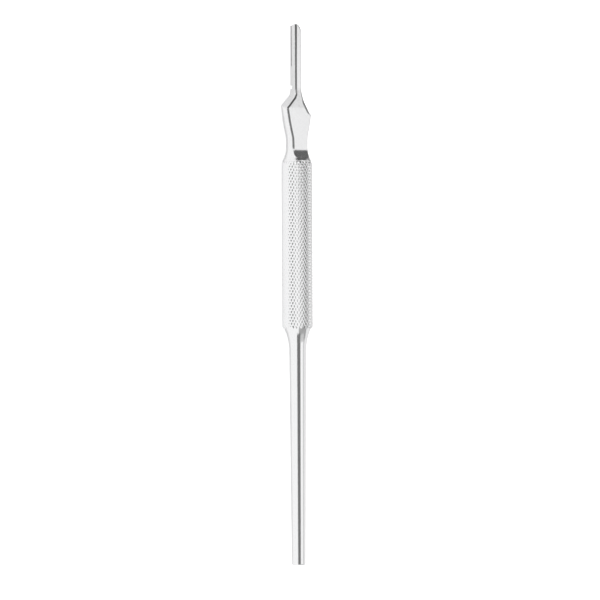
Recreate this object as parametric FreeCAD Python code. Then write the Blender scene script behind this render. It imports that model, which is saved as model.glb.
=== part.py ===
import FreeCAD, Part
import math
import os

# Scalpel handle: one bar of stainless steel, turned, knurled, milled and polished.
# The bar lies along Y with its tip at +Y, the plain back of the head up and the blade side down.
# Lengths are in millimetres. Stations along the bar are counted from the free end of the rod,
# and places on the head, whose names end in from_grip, from the end of the grip.
V = FreeCAD.Vector

overall_length = 145.0

# Rod: a slender cone with a rounded end, which flares out into the grip.
rod_end_diameter = 3.7
rod_root_diameter = 4.6
rod_end_rounding = 0.45
flare_angle = 25.5
flare_radius = 13.0
flare_end_diameter = 7.2

# Grip: a round bar with a diamond knurl whose two sets of grooves run at about 30 degrees.
grip_start = 63.5
grip_length = 44.6
grip_diameter = 8.25
knurl_depth = 0.32
knurl_count_around = 27
knurl_row_pitch = 0.79
knurl_end_bevel = 0.5
knurl_end_diameter = 7.6

# Head: a collar, a hollow cone, a waist, and a cone that widens until the shoulders cut across it.
collar_diameter = 7.76
collar_length = 0.35
collar_rounding = 0.4
neck_cone_angle = 34.0
neck_cone_radius = 5.5
neck_diameter = 5.74
neck_length = 4.5
neck_head_radius = 5.0
head_bend_length = 4.2
head_bend_diameter = 7.36
head_bend_radius = 12.0
head_cone_length = 10.6
head_cone_diameter = 9.2

# Back of the head: milled plain, in two slopes, with a hollow where the cutter came out.
back_cutter_radius = 3.2
back_start_from_grip = 3.5
back_height_at_start = 1.87
back_bend_from_grip = 14.2
back_height_at_bend = 1.42
back_blend_radius = 12.0
tongue_from_grip = 19.7
tongue_back_height = 0.84

# Blade side of the head: milled nearly parallel to the bar.
blade_side_start_from_grip = 3.7
blade_side_height_at_start = 2.1
blade_side_height_at_rib = 1.65

# Plan outline of the head: two oblique shoulders and a narrow tongue.
tongue_width = 2.0
left_shoulder_from_grip = 16.2
left_shoulder_angle = 45.5
left_shoulder_blend = 2.5
right_shoulder_from_grip = 15.4
right_shoulder_angle = 61.6
right_shoulder_blend = 6.0
shoulder_reference_offset = 2.46
shoulder_slant = 15.0

# Tip of the tongue: nearly square on the left, cut away obliquely on the right.
tip_left_rounding = 0.3
tip_flat_width = 1.07
tip_flat_rounding = 0.6
tip_bevel_length = 1.0
tip_bevel_rounding = 1.0

# Blade fitting: a seat, and a rib with a groove along each side that holds the blade's slot.
seat_depth = 0.75
seat_step_from_grip = 19.0
seat_step_angle = 31.0
rib_from_grip = 20.45
rib_front_setback = 0.3
rib_lip_width = 1.6
rib_root_width = 1.1
rib_block_width = 1.8
rib_block_length = 5.2
blade_groove_width = 0.45

# Edges are softened by polishing.
shoulder_edge_rounding = 0.3
back_edge_rounding = 0.28

# Stations that follow from the sizes above.
grip_end = grip_start + grip_length
back_start = grip_end + back_start_from_grip
back_bend = grip_end + back_bend_from_grip
tongue_start = grip_end + tongue_from_grip
blade_side_start = grip_end + blade_side_start_from_grip
left_shoulder = grip_end + left_shoulder_from_grip
right_shoulder = grip_end + right_shoulder_from_grip
seat_step_centre = grip_end + seat_step_from_grip
rib_start = grip_end + rib_from_grip
neck_radius = neck_diameter / 2
head_radius = head_cone_diameter / 2
cone_end_station = grip_end + collar_length + (collar_diameter - neck_diameter) / 2 / math.tan(
    math.radians(neck_cone_angle)) + neck_length + head_cone_length
outside = 2 * head_cone_diameter


def rounded_path(corners, place, closed=False):
    """Edges through the corners (a, b, radius), each corner rounded by a tangent arc.
    place turns a pair (a, b) into a point in space."""
    count = len(corners)
    edges = []
    ends = []
    for index, (a, b, radius) in enumerate(corners):
        here = V(a, b, 0)
        inner = closed or 0 < index < count - 1
        if not (inner and radius > 0):
            ends.append((here, here))
            continue
        before = V(*corners[index - 1][:2], 0) - here
        after = V(*corners[(index + 1) % count][:2], 0) - here
        half_turn = before.getAngle(after) / 2
        reach = radius / math.tan(half_turn)
        start = here + before.normalize() * reach
        end = here + after.normalize() * reach
        bisector = (before + after).normalize()
        centre = here + bisector * (radius / math.sin(half_turn))
        middle = centre - bisector * radius
        edges.append(Part.Arc(*(place(p.x, p.y) for p in (start, middle, end))).toShape())
        ends.append((start, end))
    last = count if closed else count - 1
    for index in range(last):
        start = ends[index][1]
        end = ends[(index + 1) % count][0]
        if (end - start).Length > 1e-6:
            edges.append(Part.makeLine(place(start.x, start.y), place(end.x, end.y)))
    return edges


def wire_of(edges):
    return Part.Wire(Part.sortEdges(edges)[0])


def turned(corners, as_splines=False):
    """A solid of revolution about the bar's axis, from corners (station, radius, rounding).
    As splines, its slanted and round stretches are the same curves but mesh with few facets."""
    axis_end = corners[-1][0]
    axis_start = corners[0][0]
    closed = [(axis_start, 0, 0)] + corners + [(axis_end, 0, 0)]
    edges = rounded_path(closed, lambda s, r: V(r, s, 0), closed=True)
    if as_splines:
        edges = [edge.toNurbs().Edges[0] if is_skin(edge) else edge for edge in edges]
    return Part.Face(wire_of(edges)).revolve(V(0, 0, 0), V(0, 1, 0), 360)


def is_skin(edge):
    """True for a profile edge that runs along the bar, away from its axis."""
    first, last = (vertex.Point for vertex in edge.Vertexes)
    return abs(last.y - first.y) > 1e-6 and max(first.x, last.x) > 1e-6


def rod_solid():
    rise = (flare_end_diameter - rod_root_diameter) / 2
    flare_corner = grip_start - rise / math.tan(math.radians(flare_angle))
    return turned([
        (0, rod_end_diameter / 2, rod_end_rounding),
        (flare_corner, rod_root_diameter / 2, flare_radius),
        (grip_start, flare_end_diameter / 2, 0),
    ], as_splines=True)


def head_blank():
    cone_start = grip_end + collar_length
    cone_end = cone_end_station - head_cone_length - neck_length
    return turned([
        (grip_end, collar_diameter / 2, 0),
        (cone_start, collar_diameter / 2, collar_rounding),
        (cone_end, neck_radius, neck_cone_radius),
        (cone_end_station - head_cone_length, neck_radius, neck_head_radius),
        (cone_end_station - head_cone_length + head_bend_length, head_bend_diameter / 2, head_bend_radius),
        (cone_end_station, head_radius, 0),
        (overall_length, head_radius, 0),
    ])


def milled(corners, side):
    """A cutter as wide as the bar, with corners (station, height, rounding) in the plane X = 0."""
    edges = rounded_path(corners, lambda s, h: V(-outside, s, side * h), closed=True)
    return Part.Face(wire_of(edges)).extrude(V(2 * outside, 0, 0))


def back_cutter():
    return milled([
        (back_start - back_cutter_radius, outside, 0),
        (back_start - back_cutter_radius, back_height_at_start, back_cutter_radius * 0.999),
        (back_bend, back_height_at_bend, back_blend_radius),
        (tongue_start, tongue_back_height, back_blend_radius),
        (overall_length + outside, tongue_back_height, 0),
        (overall_length + outside, outside, 0),
    ], 1)


def blade_side_cutter():
    return milled([
        (blade_side_start - back_cutter_radius, outside, 0),
        (blade_side_start - back_cutter_radius, blade_side_height_at_start, back_cutter_radius * 0.999),
        (rib_start, blade_side_height_at_rib, 0),
        (overall_length + outside, blade_side_height_at_rib, 0),
        (overall_length + outside, outside, 0),
    ], -1)


def plan_prism(corners, slant):
    """A prism through the head over a plan outline, leaning forward towards the blade side."""
    lean = math.tan(math.radians(slant))
    edges = rounded_path(corners, lambda x, s: V(x, s + outside * lean, -outside), closed=True)
    return Part.Face(wire_of(edges)).extrude(V(0, -2 * outside * lean, 2 * outside))


def shoulder_cutter(side, station, angle, blend):
    """What the mill takes away beside the tongue, down to the oblique shoulder."""
    slope = math.tan(math.radians(angle))
    root_station = station + (shoulder_reference_offset - tongue_width / 2) * slope
    far_station = station + (shoulder_reference_offset - outside) * slope
    beyond = overall_length + 2 * outside
    return plan_prism([
        (side * outside, far_station, 0),
        (side * tongue_width / 2, root_station, blend),
        (side * tongue_width / 2, beyond, 0),
        (side * outside, beyond, 0),
    ], shoulder_slant)


def tip_cutter():
    """What is taken off the end of the tongue to give the tip its outline."""
    half = tongue_width / 2
    behind = overall_length - tip_bevel_length
    low = behind - 2 * tip_bevel_rounding
    beyond = overall_length + outside
    kept = plan_prism([
        (-half, low, 0),
        (-half, overall_length, tip_left_rounding),
        (tip_flat_width - half, overall_length, tip_flat_rounding),
        (half, behind, tip_bevel_rounding),
        (half, low, 0),
    ], 0)
    block = plan_prism([(-outside, low, 0), (-outside, beyond, 0), (outside, beyond, 0), (outside, low, 0)], 0)
    return block.cut(kept)


def slab(x_from, x_to, y_from, y_to, z_from, z_to):
    return Part.makeBox(x_to - x_from, y_to - y_from, z_to - z_from, V(x_from, y_from, z_from))


def rib_solid():
    """The rib: a plain block behind, and two lips over grooves in front."""
    front = overall_length - rib_front_setback
    block_end = rib_start + rib_block_length
    lip_top = -blade_side_height_at_rib
    groove_top = -(seat_depth + blade_groove_width)
    block = slab(-rib_block_width / 2, rib_block_width / 2, rib_start, block_end, lip_top, 0)
    core = slab(-rib_root_width / 2, rib_root_width / 2, rib_start, front, lip_top, 0)
    lips = slab(-rib_lip_width / 2, rib_lip_width / 2, rib_start, front, lip_top, groove_top)
    return block.fuse([core, lips])


def seat_cutter():
    """The pocket that takes the blade, from the oblique step forward, without the rib."""
    slope = math.tan(math.radians(seat_step_angle))
    left = seat_step_centre + outside * slope
    right = seat_step_centre - outside * slope
    beyond = overall_length + outside
    plan = [V(-outside, left, -outside), V(outside, right, -outside),
            V(outside, beyond, -outside), V(-outside, beyond, -outside)]
    pocket = Part.Face(Part.makePolygon(plan + plan[:1])).extrude(V(0, 0, outside - seat_depth))
    return pocket.cut(rib_solid())


def middle_normal(face):
    u_from, u_to, v_from, v_to = face.ParameterRange
    return face.normalAt((u_from + u_to) / 2, (v_from + v_to) / 2)


def is_hollow(face):
    """The hollows that the two flat cuts of the head end in."""
    behind_waist = face.CenterOfMass.y < grip_end + collar_length + 2 * back_cutter_radius
    across = isinstance(face.Surface, Part.Cylinder) and abs(face.Surface.Axis.x) > 0.99
    return behind_waist and across


def is_back(face):
    return middle_normal(face).z > 0.9 and face.CenterOfMass.z > 0 and not is_hollow(face)


def is_blade_side(face):
    return middle_normal(face).z < -0.9 and face.CenterOfMass.z < -seat_depth and not is_hollow(face)


def is_shoulder(face):
    return middle_normal(face).y > 0.4 and neck_end() < face.CenterOfMass.y < seat_step_centre


def is_head_cone(face):
    return middle_normal(face).y < 0 and neck_end() < face.CenterOfMass.y < seat_step_centre


def is_turned_or_cut(face):
    return not (is_hollow(face) or is_back(face) or is_blade_side(face))


def neck_end():
    return cone_end_station - head_cone_length


def softened(solid, radius, first, second):
    """The solid with a rounding on each edge between a face of the first kind and one of the second."""
    edges = []
    for edge in solid.Edges:
        faces = solid.ancestorsOfType(edge, Part.Face)
        if len(faces) != 2:
            continue
        one, other = faces
        if (first(one) and second(other)) or (first(other) and second(one)):
            edges.append(edge)
    return solid.makeFillet(radius, edges)


def head_solid():
    head = head_blank()
    head = head.cut(shoulder_cutter(-1, left_shoulder, left_shoulder_angle, left_shoulder_blend))
    head = head.cut(shoulder_cutter(1, right_shoulder, right_shoulder_angle, right_shoulder_blend))
    head = head.cut(tip_cutter())
    head = head.cut(back_cutter())
    head = head.cut(blade_side_cutter())
    head = head.removeSplitter().Solids[0]
    head = softened(head, shoulder_edge_rounding, is_shoulder, is_head_cone)
    head = softened(head, back_edge_rounding, is_back, is_turned_or_cut)
    return head.cut(seat_cutter())


def knurl_ring(station, shift):
    """One ring of points, by turns on a crest and in a groove."""
    crest = grip_diameter / 2
    root = crest - knurl_depth
    step = math.pi / knurl_count_around
    return [ring_point(station, crest if (index + shift) % 2 == 0 else root, index * step)
            for index in range(2 * knurl_count_around)]


def ring_point(station, radius, angle):
    turn = angle + math.pi / knurl_count_around / 2
    return V(radius * math.sin(turn), station, -radius * math.cos(turn))


def knurl_faces():
    """The four-sided teeth of the knurl, each a low pyramid of four flat faces."""
    first = grip_start + knurl_end_bevel
    length = grip_length - 2 * knurl_end_bevel
    rows = max(2, round(length / knurl_row_pitch))
    step = math.pi / knurl_count_around
    end_radius = knurl_end_diameter / 2
    rings = [knurl_ring(first + length * row / rows, row) for row in range(rows + 1)]
    bottom = [ring_point(grip_start, end_radius, i * step) for i in range(2 * knurl_count_around)]
    top = [ring_point(grip_end, end_radius, i * step) for i in range(2 * knurl_count_around)]
    rings = [bottom] + rings + [top]
    faces = []
    for row in range(len(rings) - 1):
        near = rings[row]
        far = rings[row + 1]
        for i in range(len(near)):
            k = (i + 1) % len(near)
            crest_at_near = (i + row - 1) % 2 == 0
            if crest_at_near:
                corners = ((near[i], near[k], far[i]), (far[k], far[i], near[k]))
            else:
                corners = ((near[i], near[k], far[k]), (near[i], far[k], far[i]))
            for corner in corners:
                faces.append(Part.Face(Part.makePolygon(list(corner) + [corner[0]])))
    return faces, bottom, top


def without_face_at(solid, station):
    """The faces of a solid apart from the flat one across the bar at a station, and that face."""
    kept = []
    dropped = None
    for face in solid.Faces:
        box = face.BoundBox
        if abs(box.YMin - station) < 1e-6 and abs(box.YMax - station) < 1e-6:
            dropped = face
        else:
            kept.append(face)
    return kept, dropped


def handle():
    rod_faces, rod_disc = without_face_at(rod_solid(), grip_start)
    head_faces, head_disc = without_face_at(head_solid(), grip_end)
    teeth, bottom, top = knurl_faces()
    bottom_polygon = Part.Face(Part.makePolygon(bottom + bottom[:1]))
    top_polygon = Part.Face(Part.makePolygon(top + top[:1]))
    lower_step = bottom_polygon.cut(rod_disc).Faces
    upper_step = head_disc.cut(top_polygon).Faces
    shell = Part.makeShell(rod_faces + lower_step + teeth + upper_step + head_faces)
    solid = Part.Solid(shell)
    if solid.Volume < 0:
        solid.reverse()
    return solid


os.makedirs("parts", exist_ok=True)
shape = handle()
axis_height = grip_diameter / 2 * math.cos(math.pi / knurl_count_around / 2)
shape.translate(V(0, -overall_length / 2, axis_height))
print("valid", shape.isValid(), "faces", len(shape.Faces), "volume", round(shape.Volume, 2))
shape.exportStep("parts/handle.step")
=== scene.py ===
import math

import bmesh
import bpy
from mathutils import Matrix, Vector


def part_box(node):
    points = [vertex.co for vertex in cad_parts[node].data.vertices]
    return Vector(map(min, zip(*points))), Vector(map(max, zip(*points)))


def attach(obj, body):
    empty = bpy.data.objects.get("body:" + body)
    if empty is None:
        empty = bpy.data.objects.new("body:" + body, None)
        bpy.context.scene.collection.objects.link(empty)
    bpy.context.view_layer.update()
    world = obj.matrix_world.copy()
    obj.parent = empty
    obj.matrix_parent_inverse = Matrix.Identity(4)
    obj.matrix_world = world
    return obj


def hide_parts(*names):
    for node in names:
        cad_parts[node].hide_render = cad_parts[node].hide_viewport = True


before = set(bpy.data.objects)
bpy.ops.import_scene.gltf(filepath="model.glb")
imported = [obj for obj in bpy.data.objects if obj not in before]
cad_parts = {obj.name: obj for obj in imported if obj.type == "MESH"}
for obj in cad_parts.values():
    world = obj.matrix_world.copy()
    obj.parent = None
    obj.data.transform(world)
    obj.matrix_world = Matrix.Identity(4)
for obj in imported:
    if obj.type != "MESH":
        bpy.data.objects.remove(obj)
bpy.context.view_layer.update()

# The bar. One length of round stainless steel that lies along Y on the crests of its knurl, tip at +Y.
# It is shaped here in millimetres about its own axis, with the free end of the rod at station 0,
# and the finished mesh is then moved to where the CAD part lies.
MM = 0.001
low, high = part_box("handle")
overall_length = (high.y - low.y) / MM
to_frame = Matrix.Translation((0, low.y, (low.z + high.z) / 2)) @ Matrix.Scale(MM, 4)
bar_axis = {"cent": (0, 0, 0), "axis": (0, 1, 0)}
whole_turn = 2 * math.pi
weld = 0.001

# The rod. A slender cone with a rounded end, which flares out into the grip in a hollow curve. It is
# turned from the bar and polished bright.
rod_end_radius = 1.85
rod_root_radius = 2.3
rod_end_rounding = 0.45
flare_radius = 13.0
flare_slope = math.tan(math.radians(25.5))
flare_end_radius = 3.6
grip_start = 63.5
flare_corner = grip_start - (flare_end_radius - rod_root_radius) / flare_slope
rod_rounding_steps = 12
turned_steps = 112


def rounded_outline(corners, segments):
    """A wire through the corners (station, height, rounding), each rounded by a bevel."""
    wire = bmesh.new()
    points = [Vector((0, station, height)) for station, height, rounding in corners]
    verts = [wire.verts.new(point) for point in points]
    for one, other in zip(verts, verts[1:]):
        wire.edges.new((one, other))
    for index in range(1, len(points) - 1):
        before = points[index - 1] - points[index]
        after = points[index + 1] - points[index]
        reach = corners[index][2] / math.tan(before.angle(after) / 2)
        if reach > 0:
            bmesh.ops.bevel(wire, geom=[verts[index]], offset=reach, offset_type="OFFSET",
                            affect="VERTICES", segments=segments, profile=0.5, material=-1,
                            clamp_overlap=False)
    return wire


def all_of(mesh):
    """The vertices, edges and faces of a mesh."""
    return mesh.verts[:] + mesh.edges[:] + mesh.faces[:]


rod = rounded_outline([
    (0, 0, 0),
    (0, rod_end_radius, rod_end_rounding),
    (flare_corner, rod_root_radius, flare_radius),
    (grip_start, flare_end_radius, 0),
], rod_rounding_steps)
bmesh.ops.spin(rod, geom=all_of(rod), angle=whole_turn, steps=turned_steps, use_merge=True, **bar_axis)
bmesh.ops.remove_doubles(rod, verts=rod.verts, dist=weld)

# The grip. A diamond knurl rolled into the bar, of four-sided teeth that polishing has rubbed into low
# domes, lowest where two grooves cross, and a small turned bevel at each end.
grip_diameter = (high.z - low.z) / MM
grip_length = 44.6
grip_end = grip_start + grip_length
teeth_around = 27
tooth_rows = 55
tooth_height = 0.27
tooth_curve = 0.7
tooth_cuts = 5
tooth_weld = 0.004
end_bevel = 0.5
bevel_end_radius = 3.8

half_tooth = math.pi / teeth_around
row_pitch = (grip_length - 2 * end_bevel) / tooth_rows
crest_radius = grip_diameter / 2 / math.cos(half_tooth / 2)
root_radius = 2 * (crest_radius - tooth_height) / (1 + math.cos(half_tooth))
half_width = root_radius * math.sin(half_tooth)
tooth_floor = root_radius * math.cos(half_tooth)


def ring_at(mesh, station):
    """The open edges of a mesh that lie round the bar at a station."""
    return [edge for edge in mesh.edges
            if edge.is_boundary and all(abs(vert.co.y - station) < weld for vert in edge.verts)]


# One tooth, raised from a diamond between four crossings of the grooves, is turned round the bar for
# the first row. Each next row lies half a tooth further round.
knurl = bmesh.new()
corner_places = ((-half_width, 0, tooth_floor), (0, -row_pitch, root_radius),
                 (half_width, 0, tooth_floor), (0, row_pitch, root_radius))
knurl.faces.new([knurl.verts.new(place) for place in corner_places])
bmesh.ops.subdivide_edges(knurl, edges=knurl.edges, cuts=tooth_cuts, use_grid_fill=True)
for vert in knurl.verts:
    share_across = vert.co.x / half_width
    share_along = vert.co.y / row_pitch
    outwards = Vector((vert.co.x, 0, vert.co.z)).normalized()
    vert.co += outwards * tooth_height * (1 - (share_across ** 2 + share_along ** 2) ** tooth_curve)
bmesh.ops.rotate(knurl, verts=knurl.verts, cent=(0, 0, 0),
                 matrix=Matrix.Rotation(-half_tooth / 2, 3, "Y"))
bmesh.ops.translate(knurl, verts=knurl.verts, vec=(0, grip_start + end_bevel, 0))
bmesh.ops.spin(knurl, geom=all_of(knurl), steps=teeth_around - 1,
               angle=whole_turn * (teeth_around - 1) / teeth_around, use_duplicate=True, **bar_axis)
bmesh.ops.spin(knurl, geom=all_of(knurl), steps=tooth_rows, angle=half_tooth * tooth_rows,
               dvec=(0, row_pitch, 0), use_duplicate=True, **bar_axis)
bmesh.ops.remove_doubles(knurl, verts=knurl.verts, dist=tooth_weld)

# The teeth are cut off square near each end of the grip, and the bevel is drawn out from the cut.
for end_station, outward in ((grip_start, -1), (grip_end, 1)):
    edge_station = end_station - outward * end_bevel
    bmesh.ops.bisect_plane(knurl, geom=all_of(knurl), dist=weld, plane_co=(0, edge_station, 0),
                           plane_no=(0, outward, 0), clear_outer=True)
    rim = bmesh.ops.extrude_edge_only(knurl, edges=ring_at(knurl, edge_station))["geom"]
    for vert in rim:
        if isinstance(vert, bmesh.types.BMVert):
            turned_in = Vector((vert.co.x, 0, vert.co.z)).normalized() * bevel_end_radius
            vert.co = (turned_in.x, end_station, turned_in.z)

# The head. Turned to a collar, a hollow cone, a waist and a widening cone, then milled plain on the back
# and on the blade's side, and cut away beside the tongue along two oblique shoulders that lean forward.
# Its skin is drawn along the bar ring by ring, each ring the outline of the bar at that station.
outline_steps = 24
clear_of_bar = 9.05

collar_radius = 3.88
collar_end = grip_end + 0.35
collar_rounding = 0.4
cone_slope = math.tan(math.radians(34.0))
cone_rounding = 5.5
neck_radius = 2.87
cone_start = collar_end + (collar_radius - neck_radius) / cone_slope
neck_end = cone_start + 4.5
neck_rounding = 5.0
swell_station = neck_end + 4.2
swell_radius = 3.68
swell_rounding = 12.0
head_end = neck_end + 10.6
head_radius = 4.59

cutter_radius = 3.2
cutter_rounding = 0.999 * cutter_radius
back_start = grip_end + 3.6
back_start_height = 1.87
back_bend = grip_end + 14.2
back_bend_height = 1.42
back_rounding = 12.0
tongue_station = grip_end + 19.7
tongue_back = 0.84
blade_side_start = grip_end + 3.7
blade_side_start_height = 2.1
rib_start = grip_end + 20.45
blade_side = 1.65

left_side = -1
right_side = 1
tongue_half = 1.0
lean = math.tan(math.radians(15.0))
shoulder_reference = 2.46
left_station = grip_end + 16.2
left_slope = math.tan(math.radians(45.5))
left_rounding = 2.5
right_station = grip_end + 15.4
right_slope = math.tan(math.radians(61.6))
right_rounding = 6.0


def points_of(corners):
    """The rounded outline through the corners, as pairs (station, height) in order along the bar."""
    wire = rounded_outline(corners, outline_steps)
    points = sorted(((vert.co.y, vert.co.z) for vert in wire.verts),
                    key=lambda point: (point[0], -point[1]))
    wire.free()
    return points


def height_at(points, station):
    """The height of an outline at a station. Before its first point it keeps that point's height."""
    shortest_run = 1e-9
    if station <= points[0][0]:
        return points[0][1]
    for (y0, z0), (y1, z1) in zip(points, points[1:]):
        if station <= y1:
            share = (station - y0) / max(y1 - y0, shortest_run)
            return z0 + share * (z1 - z0)
    return points[-1][1]


def shoulder_outline(station, slope, rounding):
    """How wide one side is cut: in along its oblique shoulder, then straight along the tongue."""
    root = station + (shoulder_reference - tongue_half) * slope
    start = station + (shoulder_reference - clear_of_bar) * slope
    return points_of([
        (start, clear_of_bar, 0),
        (root, tongue_half, rounding),
        (overall_length + clear_of_bar, tongue_half, 0),
    ])


turned_outline = points_of([
    (grip_end, collar_radius, 0),
    (collar_end, collar_radius, collar_rounding),
    (cone_start, neck_radius, cone_rounding),
    (neck_end, neck_radius, neck_rounding),
    (swell_station, swell_radius, swell_rounding),
    (head_end, head_radius, 0),
    (overall_length, head_radius, 0),
])
back_outline = points_of([
    (back_start - cutter_radius, clear_of_bar, 0),
    (back_start - cutter_radius, back_start_height, cutter_rounding),
    (back_bend, back_bend_height, back_rounding),
    (tongue_station, tongue_back, back_rounding),
    (overall_length, tongue_back, 0),
])
blade_outline = points_of([
    (blade_side_start - cutter_radius, clear_of_bar, 0),
    (blade_side_start - cutter_radius, blade_side_start_height, cutter_rounding),
    (rib_start, blade_side, 0),
    (overall_length, blade_side, 0),
])
side_outlines = {
    left_side: shoulder_outline(left_station, left_slope, left_rounding),
    right_side: shoulder_outline(right_station, right_slope, right_rounding),
}

# The tongue's tip: nearly square on the left, and bevelled off on the right down to a blunt point.
tip_start = overall_length - 2.0
tip_left_rounding = 0.3
tip_bevel_start = overall_length - 1.0
tip_bevel_rounding = 1.0
tip_point = 0.12
tip_point_rounding = 0.6
tip_outlines = {
    left_side: points_of([
        (tip_start, tongue_half, 0),
        (overall_length, tongue_half, tip_left_rounding),
        (overall_length, -tip_point, 0),
    ]),
    right_side: points_of([
        (tip_start, tongue_half, 0),
        (tip_bevel_start, tongue_half, tip_bevel_rounding),
        (overall_length, tip_point, tip_point_rounding),
        (overall_length, -tongue_half, 0),
    ]),
}

# The edges that polishing has rubbed. An edge turns in three stretches, each from one slope to the next
# in degrees on a radius of its own, and edge_reach is how far the three go at full size. How far it
# reaches in from the side at each station is given for the left and for the right.
edge_turns = ((0, 22, 0.10), (22, 38, 1.9), (38, 90, 0.12))
edge_steps = 4
edge_reach = 0.54
widest_share = 0.4
edge_reaches = {
    left_side: ((back_start - 1.2, 0.35), (back_start + 0.2, 0.6), (overall_length, 0.6)),
    right_side: ((back_start, 0.12), (right_station - 2.9, 0.2), (right_station - 2.2, 1.2),
                 (right_station + 0.6, 1.1), (right_station + 1.6, 0.5), (right_station + 4.0, 0.25),
                 (overall_length - 1.6, 0.25), (overall_length - 1.0, 0.55), (overall_length, 0.55)),
}
blade_edge_reach = 0.12
rim_blend = {left_side: 0.17, right_side: 0.07}
end_rounding = 0.28
flat_steps = 12
side_steps = 24


def soft_least(one, other, blend):
    """The lesser of two distances, eased where they cross."""
    near = max(blend - abs(one - other), 0) / blend
    return min(one, other) - near * near * blend / 4


def chord(radius, height):
    """Half the width of a round bar at a height above its axis."""
    return math.sqrt(max(radius * radius - height * height, 0))


def side_limit(side, station, height, radius):
    """How far the bar reaches to one side at a station and height."""
    round_side = chord(radius, height)
    cut_side = height_at(side_outlines[side], station + height * lean)
    if station > tip_start:
        cut_side = min(cut_side, height_at(tip_outlines[side], station))
    return soft_least(round_side, cut_side, rim_blend[side])


def edge_path(reach, steepest):
    """The rubbed edge from a flat until it is as steep as the wall, as pairs (run outwards, drop)."""
    path = [(0.0, 0.0)]
    run = drop = 0.0
    for gentle, steep, curve in edge_turns:
        for index in range(edge_steps):
            start = min(math.radians(gentle + (steep - gentle) * index / edge_steps), steepest)
            end = min(math.radians(gentle + (steep - gentle) * (index + 1) / edge_steps), steepest)
            run += curve * (math.sin(end) - math.sin(start)) * reach / edge_reach
            drop += curve * (math.cos(start) - math.cos(end)) * reach / edge_reach
            path.append((run, drop))
    return path


def corner_points(side, station, radius, top, reach, upward):
    """The flat's end and the rubbed edge down to the side, for one corner of a ring."""
    least_cut = 1e-6
    if top >= radius - least_cut:
        return [(0.0, upward * radius)] * (len(edge_turns) * edge_steps + 1)
    reach = min(reach, widest_share * chord(radius, top))
    level = top - edge_path(reach, math.pi / 2)[-1][1]
    probe = 0.01
    drift = (side_limit(side, station, upward * (level - probe), radius) -
             side_limit(side, station, upward * (level + probe), radius)) / (2 * probe)
    path = edge_path(reach, math.pi / 2 - math.atan(drift))
    whole_run, whole_drop = path[-1]
    wall = side_limit(side, station, upward * (top - whole_drop), radius)
    return [(side * (wall - whole_run + run), upward * (top - drop)) for run, drop in path]


def side_points(side, station, radius, upper, lower):
    """Points down one side, between the two rounded edges."""
    from_angle = math.asin(max(-1, min(1, upper / radius)))
    to_angle = math.asin(max(-1, min(1, lower / radius)))
    points = []
    for index in range(1, side_steps):
        height = radius * math.sin(from_angle + (to_angle - from_angle) * index / side_steps)
        points.append((side * side_limit(side, station, height, radius), height))
    return points


def between(start, end):
    """Points across a flat, without its two ends."""
    points = []
    for index in range(1, flat_steps):
        x = start[0] + (end[0] - start[0]) * index / flat_steps
        z = start[1] + (end[1] - start[1]) * index / flat_steps
        points.append((x, z))
    return points


def bar_outline(station):
    """The outline of the bar across a station of the head, as points (x, z) once round."""
    radius = height_at(turned_outline, station)
    into_end = max(station - (overall_length - end_rounding), 0)
    top = min(height_at(back_outline, station), radius) - end_rounding + chord(end_rounding, into_end)
    bottom = min(height_at(blade_outline, station), radius)
    downwards = {}
    for side in (right_side, left_side):
        reach = height_at(edge_reaches[side], station)
        upper = corner_points(side, station, radius, top, reach, 1)
        lower = corner_points(side, station, radius, bottom, min(blade_edge_reach, reach), -1)
        lower.reverse()
        wall = side_points(side, station, radius, upper[-1][1], lower[0][1])
        downwards[side] = upper + wall + lower
    down_right = downwards[right_side]
    up_left = downwards[left_side][::-1]
    below = between(down_right[-1], up_left[0])
    above = between(up_left[-1], down_right[0])
    return down_right + below + up_left + above


def face_outwards(mesh):
    """Turns the faces of a closed mesh outwards."""
    bmesh.ops.recalc_face_normals(mesh, faces=mesh.faces)
    if mesh.calc_volume(signed=True) < 0:
        bmesh.ops.reverse_faces(mesh, faces=mesh.faces)


# Where each stretch of the head starts and how far apart its rings lie. The skin is a grid with one row
# for each ring, whose last column is merged with its first.
spans = ((grip_end, 0.1), (cone_start + 2, 0.25), (left_station - 2.8, 0.06), (left_station + 2.2, 0.15),
         (rib_start, 0.5), (overall_length - 1.4, 0.05), (overall_length - 0.1, 0.01))
stations = []
for (span_start, spacing), (span_end, _) in zip(spans, spans[1:] + ((overall_length, 0),)):
    count = max(1, round((span_end - span_start) / spacing))
    stations += [span_start + (span_end - span_start) * index / count for index in range(count)]
stations.append(overall_length)
rings = [bar_outline(station) for station in stations]
around = len(rings[0])
head = bmesh.new()
bmesh.ops.create_grid(head, x_segments=around, y_segments=len(rings) - 1, size=1)
for index, vert in enumerate(head.verts[:]):
    row, column = divmod(index, around + 1)
    x, z = rings[row][column % around]
    vert.co = (x, stations[row], z)
bmesh.ops.remove_doubles(head, verts=head.verts, dist=weld)
for end_station in (grip_end, overall_length):
    bmesh.ops.contextual_create(head, geom=ring_at(head, end_station))
face_outwards(head)

# The blade fitting, milled into the hidden side of the tongue: a seat that runs up to an oblique step,
# and a rib left standing in it, which a blade's slot slides onto. The rib is a plain block behind and two
# lips over a groove in front.
seat_depth = 0.75
seat_end = overall_length + 1
step_centre = grip_end + 19.0
step_slope = math.tan(math.radians(31.0))
rib_depth = blade_side - 0.004
rib_edge = 0.05
rib_edge_steps = 3
block_half = 0.97
block_end = rib_start + 5.2
lips_half = 0.95
lips_start = rib_start + 1
rib_front = overall_length - 0.3
groove_floor = seat_depth + 0.45
root_half = 0.55
root_front = rib_front - 0.05
root_depth = rib_depth - 0.1
root_edge = 0.1


def object_of(mesh, name):
    """A Blender object that holds a finished bmesh."""
    data = bpy.data.meshes.new(name)
    mesh.to_mesh(data)
    mesh.free()
    made = bpy.data.objects.new(name, data)
    bpy.context.scene.collection.objects.link(made)
    return made


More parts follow.
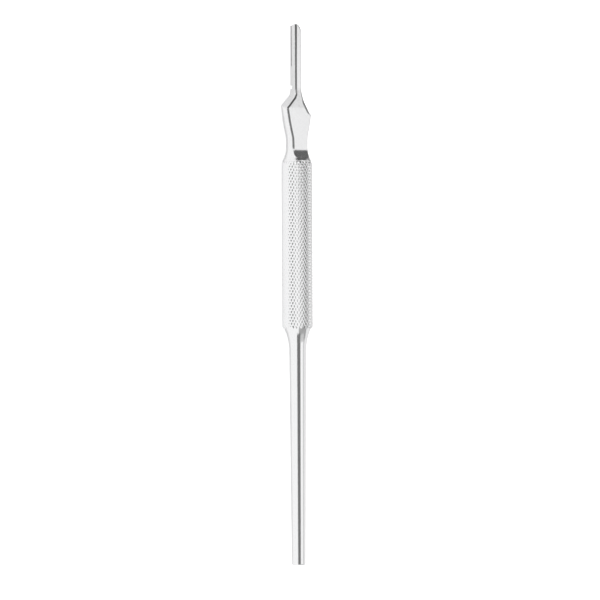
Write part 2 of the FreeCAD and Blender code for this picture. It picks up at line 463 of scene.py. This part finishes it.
def block_object(name, half, back_y, front_y, low_z, high_z, edge=0.0):
    """A rectangular block on the middle of the bar, rounded along the edges of its low side."""
    block = bmesh.new()
    bmesh.ops.create_cube(block, size=1)
    bmesh.ops.scale(block, verts=block.verts, vec=(2 * half, front_y - back_y, high_z - low_z))
    bmesh.ops.translate(block, verts=block.verts, vec=(0, (back_y + front_y) / 2, (low_z + high_z) / 2))
    if edge:
        outer = [item for item in block.edges if all(vert.co.z < high_z - edge for vert in item.verts)]
        bmesh.ops.bevel(block, geom=outer, offset=edge, offset_type="OFFSET", affect="EDGES",
                        segments=rib_edge_steps, profile=0.5, material=-1)
    return object_of(block, name)


def cut_by(body, tool):
    """Takes the tool's shape out of the body's mesh. The tool is used up."""
    cut = body.modifiers.new("cut", "BOOLEAN")
    cut.operation = "DIFFERENCE"
    cut.solver = "EXACT"
    cut.object = tool
    bpy.context.view_layer.update()
    shaped = bpy.data.meshes.new_from_object(body.evaluated_get(bpy.context.evaluated_depsgraph_get()))
    body.modifiers.clear()
    body.data = shaped
    bpy.data.objects.remove(tool)


# The pocket is what the mill takes away, so the parts of the rib are first cut out of the pocket.
pocket = block_object("pocket", clear_of_bar, step_centre, seat_end, -clear_of_bar, -seat_depth)
for vert in pocket.data.vertices:
    if vert.co.y < rib_start:
        vert.co.y = step_centre - vert.co.x * step_slope
cut_by(pocket, block_object("block", block_half, rib_start, block_end, -rib_depth, 0, rib_edge))
cut_by(pocket, block_object("root", root_half, lips_start, root_front, -root_depth, 0, root_edge))
cut_by(pocket, block_object("lips", lips_half, lips_start, rib_front, -rib_depth, -groove_floor,
                            rib_edge))
shaped_head = object_of(head, "head")
cut_by(shaped_head, pocket)

# The finished bar. Its stretches are one piece of steel, so they are joined end to end at the small
# steps on each side of the grip.
seam_weld = 0.0005
sharp_angle = math.radians(30)


def take_in(mesh, piece):
    """Adds the faces of a finished stretch of the bar to the whole one."""
    held = bpy.data.meshes.new("stretch")
    piece.to_mesh(held)
    piece.free()
    mesh.from_mesh(held)
    bpy.data.meshes.remove(held)


bar = bmesh.new()
take_in(bar, rod)
take_in(bar, knurl)
bar.from_mesh(shaped_head.data)
bpy.data.objects.remove(shaped_head)
inner_end = [face for face in bar.faces
             if len(face.verts) > 4 and all(abs(vert.co.y - grip_end) < weld for vert in face.verts)]
bmesh.ops.delete(bar, geom=inner_end, context="FACES_ONLY")
for station in (grip_start, grip_end):
    bmesh.ops.bridge_loops(bar, edges=ring_at(bar, station))
bmesh.ops.remove_doubles(bar, verts=bar.verts, dist=seam_weld)
face_outwards(bar)
bmesh.ops.transform(bar, matrix=to_frame, verts=bar.verts)
for face in bar.faces:
    face.smooth = True
handle = object_of(bar, "steel_handle")
handle.data.set_sharp_from_angle(angle=sharp_angle)
evened = handle.modifiers.new("evened_normals", "WEIGHTED_NORMAL")
evened.mode = "FACE_AREA"
evened.keep_sharp = True

# Steel. Stainless, polished bright on the rod and in the knurl, where its marks are a little stronger,
# and fine satin on the milled head, with faint lines and clouds from the polishing wheel.
cloud_detail = 4
line_detail = 2
line_scale = (9000, 500, 9000)
line_share = 0.35
bright = (0.9, 0.9, 0.905)
satin = (0.88, 0.88, 0.885)


def polishing_group():
    """Clouds and lines left by polishing, for a material's Roughness and for the Height of its bump."""
    group = bpy.data.node_groups.new("polishing_marks", "ShaderNodeTree")
    for given_name in ("Roughness", "Cloud Size", "Spread"):
        group.interface.new_socket(given_name, in_out="INPUT", socket_type="NodeSocketFloat")
    for result_name in ("Roughness", "Height"):
        group.interface.new_socket(result_name, in_out="OUTPUT", socket_type="NodeSocketFloat")
    nodes, links = group.nodes, group.links
    given = nodes.new("NodeGroupInput")
    result = nodes.new("NodeGroupOutput")
    place = nodes.new("ShaderNodeTexCoord")
    clouds = nodes.new("ShaderNodeTexNoise")
    clouds.inputs["Detail"].default_value = cloud_detail
    links.new(place.outputs["Object"], clouds.inputs["Vector"])
    links.new(given.outputs["Cloud Size"], clouds.inputs["Scale"])
    stretch = nodes.new("ShaderNodeMapping")
    stretch.inputs["Scale"].default_value = line_scale
    links.new(place.outputs["Object"], stretch.inputs["Vector"])
    lines = nodes.new("ShaderNodeTexNoise")
    lines.inputs["Scale"].default_value = 1
    lines.inputs["Detail"].default_value = line_detail
    links.new(stretch.outputs["Vector"], lines.inputs["Vector"])
    shift = nodes.new("ShaderNodeMath")
    shift.operation = "SUBTRACT"
    shift.inputs[1].default_value = 0.5
    links.new(clouds.outputs["Fac"], shift.inputs[0])
    spread = nodes.new("ShaderNodeMath")
    spread.operation = "MULTIPLY_ADD"
    links.new(shift.outputs[0], spread.inputs[0])
    links.new(given.outputs["Spread"], spread.inputs[1])
    links.new(given.outputs["Roughness"], spread.inputs[2])
    links.new(spread.outputs[0], result.inputs["Roughness"])
    both = nodes.new("ShaderNodeMath")
    both.operation = "MULTIPLY_ADD"
    both.inputs[1].default_value = line_share
    links.new(lines.outputs["Fac"], both.inputs[0])
    links.new(clouds.outputs["Fac"], both.inputs[2])
    links.new(both.outputs[0], result.inputs["Height"])
    return group


polishing_marks = polishing_group()


def steel(name, tone, roughness, cloud_size, spread, relief):
    """Stainless steel with its own tone, gloss and marks, whose relief is in millimetres."""
    material = bpy.data.materials.new(name)
    material.use_nodes = True
    nodes, links = material.node_tree.nodes, material.node_tree.links
    shader = nodes["Principled BSDF"]
    shader.inputs["Base Color"].default_value = (*tone, 1)
    shader.inputs["Metallic"].default_value = 1
    marks = nodes.new("ShaderNodeGroup")
    marks.node_tree = polishing_marks
    marks.inputs["Roughness"].default_value = roughness
    marks.inputs["Cloud Size"].default_value = cloud_size
    marks.inputs["Spread"].default_value = spread
    links.new(marks.outputs["Roughness"], shader.inputs["Roughness"])
    bump = nodes.new("ShaderNodeBump")
    bump.inputs["Strength"].default_value = 1
    bump.inputs["Distance"].default_value = relief * MM
    links.new(marks.outputs["Height"], bump.inputs["Height"])
    links.new(bump.outputs["Normal"], shader.inputs["Normal"])
    return material


for finish in (
    steel("polished_rod", bright, roughness=0.14, cloud_size=900, spread=0.06, relief=0.0004),
    steel("knurled_grip", bright, roughness=0.14, cloud_size=1500, spread=0.08, relief=0.0006),
    steel("satin_head", satin, roughness=0.2, cloud_size=1200, spread=0.12, relief=0.001),
):
    handle.data.materials.append(finish)
grip_low = (to_frame @ Vector((0, grip_start, 0))).y
grip_high = (to_frame @ Vector((0, grip_end, 0))).y
for face in handle.data.polygons:
    past_rod = face.center.y >= grip_low
    past_grip = face.center.y >= grip_high
    face.material_index = past_rod + past_grip

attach(handle, "root")
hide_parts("handle")

# The studio. A plain white table in a white tent, with grey boards that only the steel's reflections
# show, because polished steel has no dark lines without something dark to reflect.
table_half = 3
table_white = (0.8, 0.8, 0.8, 1)
table_roughness = 0.9
table_seen_by_camera = 0.6
table_seen_by_steel = 0.1
white = (1, 1, 1, 1)
black = (0, 0, 0, 1)

floor_mesh = bmesh.new()
bmesh.ops.create_grid(floor_mesh, x_segments=1, y_segments=1, size=table_half)
table = object_of(floor_mesh, "table")


def seen_level(tree, to_camera, to_steel):
    """A strength that the camera and glass see, another that polished steel sees, none for the light."""
    nodes, links = tree.nodes, tree.links
    path = nodes.new("ShaderNodeLightPath")
    clear = nodes.new("ShaderNodeMath")
    clear.operation = "MAXIMUM"
    links.new(path.outputs["Is Camera Ray"], clear.inputs[0])
    links.new(path.outputs["Is Transmission Ray"], clear.inputs[1])
    glossy = nodes.new("ShaderNodeMath")
    glossy.operation = "MULTIPLY"
    glossy.inputs[1].default_value = to_steel
    links.new(path.outputs["Is Glossy Ray"], glossy.inputs[0])
    strength = nodes.new("ShaderNodeMath")
    strength.operation = "MULTIPLY_ADD"
    strength.inputs[1].default_value = to_camera
    links.new(clear.outputs[0], strength.inputs[0])
    links.new(glossy.outputs[0], strength.inputs[2])
    return strength.outputs[0]


table_paint = bpy.data.materials.new("table_paint")
table_paint.use_nodes = True
paint = table_paint.node_tree.nodes["Principled BSDF"]
paint.inputs["Base Color"].default_value = table_white
paint.inputs["Roughness"].default_value = table_roughness
paint.inputs["Specular IOR Level"].default_value = 0
paint.inputs["Emission Color"].default_value = white
table_glow = seen_level(table_paint.node_tree, table_seen_by_camera, table_seen_by_steel)
table_paint.node_tree.links.new(table_glow, paint.inputs["Emission Strength"])
table.data.materials.append(table_paint)

tent = bpy.data.worlds.new("tent")
tent.use_nodes = True
tent.node_tree.nodes["Background"].inputs["Color"].default_value = white
bpy.context.scene.world = tent

along_bar = Vector((0, 1, 0))
upright = Vector((0, 0, 1))
leftwards = Vector((-1, 0, 0))


def board(name, centre, facing, lengthways, width, length, level):
    """A board of even grey that only polished steel sees: its place, the way it faces and it runs."""
    mesh = bmesh.new()
    bmesh.ops.create_grid(mesh, x_segments=1, y_segments=1, size=0.5)
    bmesh.ops.scale(mesh, verts=mesh.verts, vec=(width, length, 1))
    outwards = Vector(facing).normalized()
    across = Vector(lengthways).cross(outwards).normalized()
    turn = Matrix((across, outwards.cross(across), outwards)).transposed().to_4x4()
    bmesh.ops.transform(mesh, matrix=Matrix.Translation(centre) @ turn, verts=mesh.verts)
    made = object_of(mesh, name)
    grey = bpy.data.materials.new(name)
    grey.use_nodes = True
    grey_shader = grey.node_tree.nodes["Principled BSDF"]
    grey_shader.inputs["Base Color"].default_value = black
    grey_shader.inputs["Specular IOR Level"].default_value = 0
    grey_shader.inputs["Emission Color"].default_value = (level, level, level, 1)
    grey_shader.inputs["Emission Strength"].default_value = 1
    made.data.materials.append(grey)
    made.visible_camera = False
    made.visible_diffuse = False
    made.visible_shadow = False
    made.visible_transmission = False


def leaning_board(name, degrees, distance, place_along, width, length, level):
    """A board along the bar that faces it from an angle between upright and the right."""
    angle = math.radians(degrees)
    away = Vector((math.sin(angle), 0, math.cos(angle)))
    board(name, distance * away + place_along * along_bar, -away, along_bar, width, length, level)


# Above the handle: a board over it, which covers 22 degrees to each side of its own direction, and
# three towards the rod's end. After its name, each has its angle in degrees, and in metres its distance
# and place along the bar, width and length. The last number is its grey, from 0 for black to 1.
overhead_distance = 1.4
overhead_width = 2 * overhead_distance * math.tan(math.radians(22.0))
overhead_back = 1.05
overhead_front = 0.4
overhead_middle = (overhead_front - overhead_back) / 2
overhead_length = overhead_front + overhead_back
leaning_board("overhead_board", -21.0, overhead_distance, overhead_middle,
              overhead_width, overhead_length, 0.18)
leaning_board("rear_board", 12.0, 1.4, -1.45, 1.82, 1.1, 0.4)
leaning_board("rear_half_board", 12.0, 1.4, -0.7, 1.82, 0.4, 0.62)
leaning_board("rear_side_board", 50.0, 1.45, -1.3, 0.45, 1.6, 0.35)

# Past the tip: boards and cards that give the head and the tongue their dark lines. Each has its centre,
# the ways that it faces and runs, its width and length in metres, and its grey.
dark = 0.12
card_height = 0.0002
card_run = (0.57, 0.82, 0)
board("front_board", (0.52, 0.56, 0.355), (0, -0.55, -0.40), (0, 0.57, -0.78), 0.48, 0.88, dark)
board("head_front_card", (-0.001, 0.0975, 0.029), (0, -0.056, -0.055), (0, 0.055, -0.056),
      0.056, 0.0785, 0.1)
board("front_card", (0.043, 0.097, card_height), upright, card_run, 0.02, 0.129, dark)
board("far_front_card", (0.23, 0.36, card_height), upright, card_run, 0.08, 0.56, dark)
board("right_front_board", (0.9, 0.40, 0.06), leftwards, along_bar, 0.25, 0.55, dark)
board("right_front_card", (0.17, 0.105, card_height), upright, (0.97, 0.26, 0), 0.08, 0.29, dark)

# To the sides: pale boards and, flat on the table, pale cloths, all longer than the handle.
side_length = 4.0
cloth_height = 0.0001
leaning_board("side_board", 50.0, 1.5, 0, 0.55, side_length, 0.68)
board("right_wall", (1.9, 0, 0.55), leftwards, along_bar, 1.1, side_length, 0.86)
board("right_table", (0.95, 0, cloth_height), upright, along_bar, 1.89, side_length, 0.84)
board("left_table", (-1.0, 0, cloth_height), upright, along_bar, 1.989, side_length, 1.0)

# The camera, far off with a long lens, above the left side of the lying handle. It shows as many
# millimetres to a pixel as the photograph does.
picture_pixels = 600
pixel_size = 0.268
rod_end_row = 565.3
view_lean = math.radians(35.0)
view_roll = math.radians(0.26)
view_distance = 1.0
picture_width = picture_pixels * pixel_size * MM
middle_station = (rod_end_row - picture_pixels / 2) * pixel_size
middle_right = 0.66 * MM

towards_camera = Vector((-math.sin(view_lean), 0, math.cos(view_lean)))
level_right = Vector((math.cos(view_lean), 0, math.sin(view_lean)))
camera_up = math.cos(view_roll) * along_bar + math.sin(view_roll) * level_right
camera_right = math.cos(view_roll) * level_right - math.sin(view_roll) * along_bar
aim = to_frame @ Vector((0, middle_station, 0)) + middle_right * camera_right
camera_data = bpy.data.cameras.new("camera")
camera_data.lens = camera_data.sensor_width * view_distance / picture_width
camera = bpy.data.objects.new("camera", camera_data)
camera_turn = Matrix((camera_right, camera_up, towards_camera)).transposed().to_4x4()
camera.matrix_world = Matrix.Translation(aim + view_distance * towards_camera) @ camera_turn
bpy.context.scene.collection.objects.link(camera)
bpy.context.scene.camera = camera
bpy.context.scene.view_settings.view_transform = "Standard"
